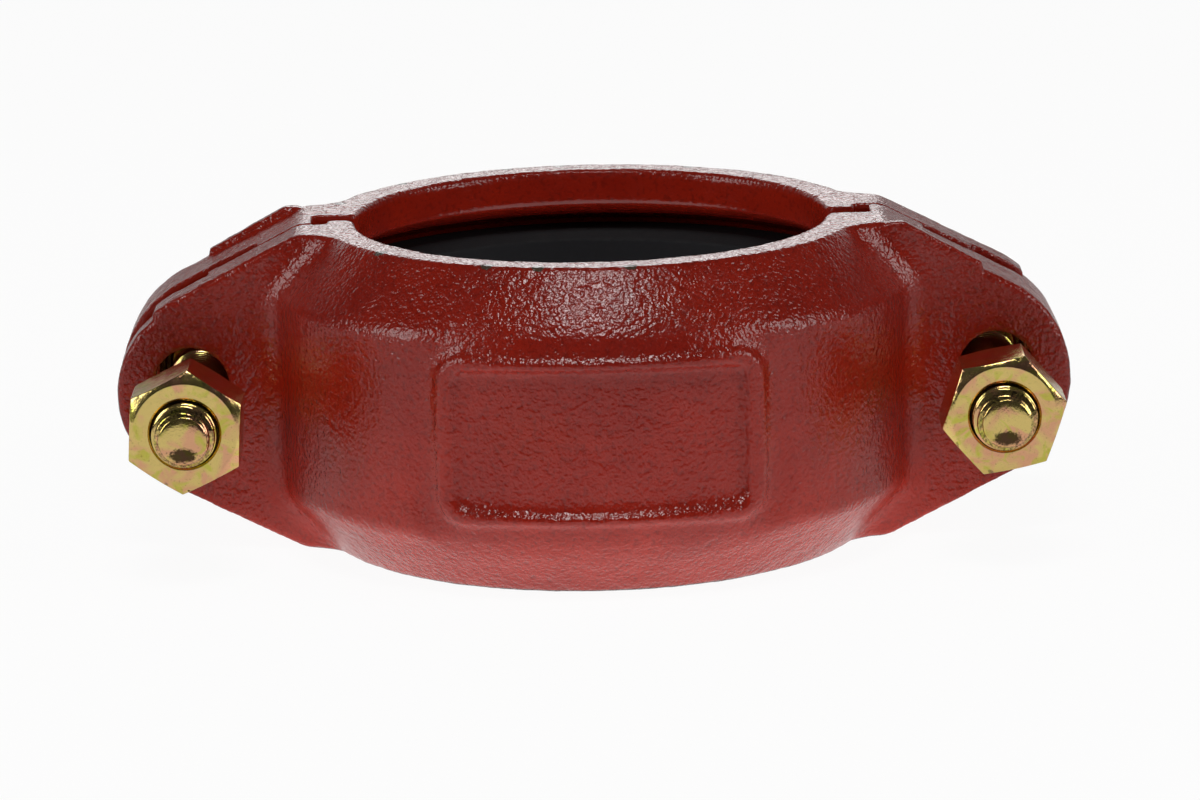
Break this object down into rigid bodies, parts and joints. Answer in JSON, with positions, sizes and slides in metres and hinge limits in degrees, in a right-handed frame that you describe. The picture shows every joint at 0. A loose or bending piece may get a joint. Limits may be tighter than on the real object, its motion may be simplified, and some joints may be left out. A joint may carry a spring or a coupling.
{
  "type": "flexible pipe coupling",
  "caption": "Flexible grooved-pipe coupling: cast housing segments bolted round a rubber gasket, with keys that hold the grooved ends of two pipes",
  "frame": {"origin": "on the pipe axis, half way between the two pipe ends, at the middle of the box round the part", "axes": "+Z is the pipe axis and points up; +X runs from the left bolt pad to the right one, in the plane where the segments meet; the nuts are on the -Y side and the bolt heads on the +Y side"},
  "size_m": [0.15, 0.1042, 0.0506],
  "materials": {
    "red_paint": "semi-gloss red paint over ductile iron casting",
    "gasket_rubber": "moulded EPDM rubber, satin",
    "zinc_chromate": "yellow chromate over zinc on carbon steel"
  },
  "bodies": {
    "back_half": {"housing_back": "red_paint", "gasket": "gasket_rubber", "bolt_left": "zinc_chromate", "bolt_right": "zinc_chromate"},
    "front_half": {"housing_front": "red_paint"},
    "left_nut": {"nut_left": "zinc_chromate"},
    "right_nut": {"nut_right": "zinc_chromate"}
  },
  "joints": [
    {"name": "front_slide", "type": "slide", "parent": "back_half", "child": "front_half", "axis": [0, -1, 0], "range_m": [0, 0.0122]},
    {"name": "left_nut_turn", "type": "hinge", "parent": "back_half", "child": "left_nut", "pos_m": [-0.0628, -0.0305, -0.00073], "axis": [0, 1, 0], "continuous": true},
    {"name": "right_nut_turn", "type": "hinge", "parent": "back_half", "child": "right_nut", "pos_m": [0.0628, -0.0305, -0.00073], "axis": [0, 1, 0], "continuous": true}
  ]
}
